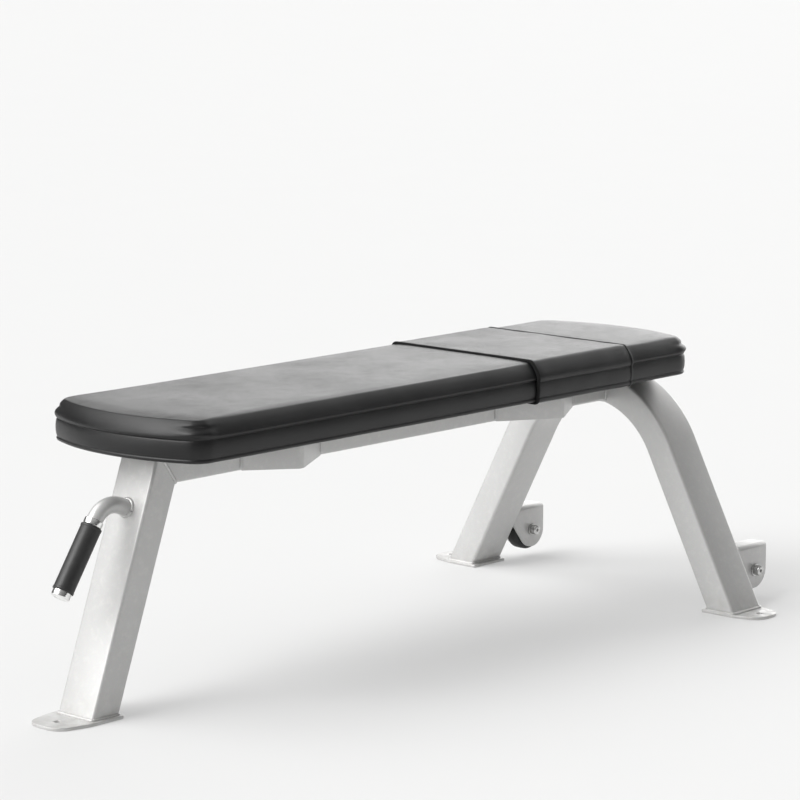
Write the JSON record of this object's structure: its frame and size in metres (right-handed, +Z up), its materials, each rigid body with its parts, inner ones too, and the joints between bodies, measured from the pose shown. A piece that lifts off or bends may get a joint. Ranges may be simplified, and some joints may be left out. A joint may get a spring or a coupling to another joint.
{
  "type": "flat weight bench",
  "caption": "Flat exercise bench: padded board with a wear sleeve on a tripod frame of rectangular steel tube, with transport wheels behind the rear legs and a rubber-gripped lifting handle.",
  "frame": {"origin": "on the floor, under the middle of the bench's bounding box", "axes": "+X along the bench from the handle end to the wheel end, +Y to the left when facing +X, +Z up"},
  "size_m": [1.412, 0.725, 0.4508],
  "materials": {
    "silver_paint": "satin silver powder coat",
    "pad_vinyl": "satin black upholstery vinyl with a fine grain",
    "wear_vinyl": "heavier satin black vinyl",
    "pad_foam": "closed-cell foam",
    "plywood": "raw birch plywood",
    "backing_cloth": "thin black non-woven backing",
    "grip_rubber": "matt black rubber",
    "wheel_tyre": "matt black polyurethane",
    "wheel_hub": "black nylon",
    "zinc_steel": "bright zinc plate",
    "polished_aluminium": "polished"
  },
  "bodies": {
    "frame": {"axle_bolt_left": "zinc_steel", "axle_bolt_right": "zinc_steel", "axle_head_washer_left": "zinc_steel", "axle_head_washer_right": "zinc_steel", "axle_nut_left": "zinc_steel", "axle_nut_right": "zinc_steel", "axle_nut_washer_left": "zinc_steel", "axle_nut_washer_right": "zinc_steel", "axle_sleeve_left": "zinc_steel", "axle_sleeve_right": "zinc_steel", "front_bracket_plate_left": "silver_paint", "front_bracket_plate_right": "silver_paint", "front_bracket_wing_left": "silver_paint", "front_bracket_wing_right": "silver_paint", "front_foot_plate": "silver_paint", "front_leg_tube": "silver_paint", "front_pad_bolt_left": "zinc_steel", "front_pad_bolt_right": "zinc_steel", "front_pad_washer_left": "zinc_steel", "front_pad_washer_right": "zinc_steel", "front_tee_nut_left": "zinc_steel", "front_tee_nut_right": "zinc_steel", "grip_collar": "polished_aluminium", "handle_end_cap": "polished_aluminium", "handle_grip": "grip_rubber", "handle_tube": "silver_paint", "pad_board": "plywood", "pad_cover": "pad_vinyl", "pad_dust_cover": "backing_cloth", "pad_foam": "pad_foam", "rear_bracket_plate_left": "silver_paint", "rear_bracket_plate_right": "silver_paint", "rear_bracket_wing_left": "silver_paint", "rear_bracket_wing_right": "silver_paint", "rear_foot_plate_left": "silver_paint", "rear_foot_plate_right": "silver_paint", "rear_leg_arch": "silver_paint", "rear_pad_bolt_left": "zinc_steel", "rear_pad_bolt_right": "zinc_steel", "rear_pad_washer_left": "zinc_steel", "rear_pad_washer_right": "zinc_steel", "rear_tee_nut_left": "zinc_steel", "rear_tee_nut_right": "zinc_steel", "spine_tube": "silver_paint", "wear_sleeve": "wear_vinyl", "wheel_bracket_left": "silver_paint", "wheel_bracket_right": "silver_paint"},
    "left_wheel": {"wheel_tyre_left": "wheel_tyre", "wheel_hub_left": "wheel_hub"},
    "right_wheel": {"wheel_tyre_right": "wheel_tyre", "wheel_hub_right": "wheel_hub"}
  },
  "joints": [
    {"name": "left_wheel_spin", "type": "hinge", "parent": "frame", "child": "left_wheel", "pos_m": [0.6695, 0.246, 0.0535], "axis": [0, 1, 0], "continuous": true},
    {"name": "right_wheel_spin", "type": "hinge", "parent": "frame", "child": "right_wheel", "pos_m": [0.6695, -0.246, 0.0535], "axis": [0, 1, 0], "continuous": true}
  ]
}
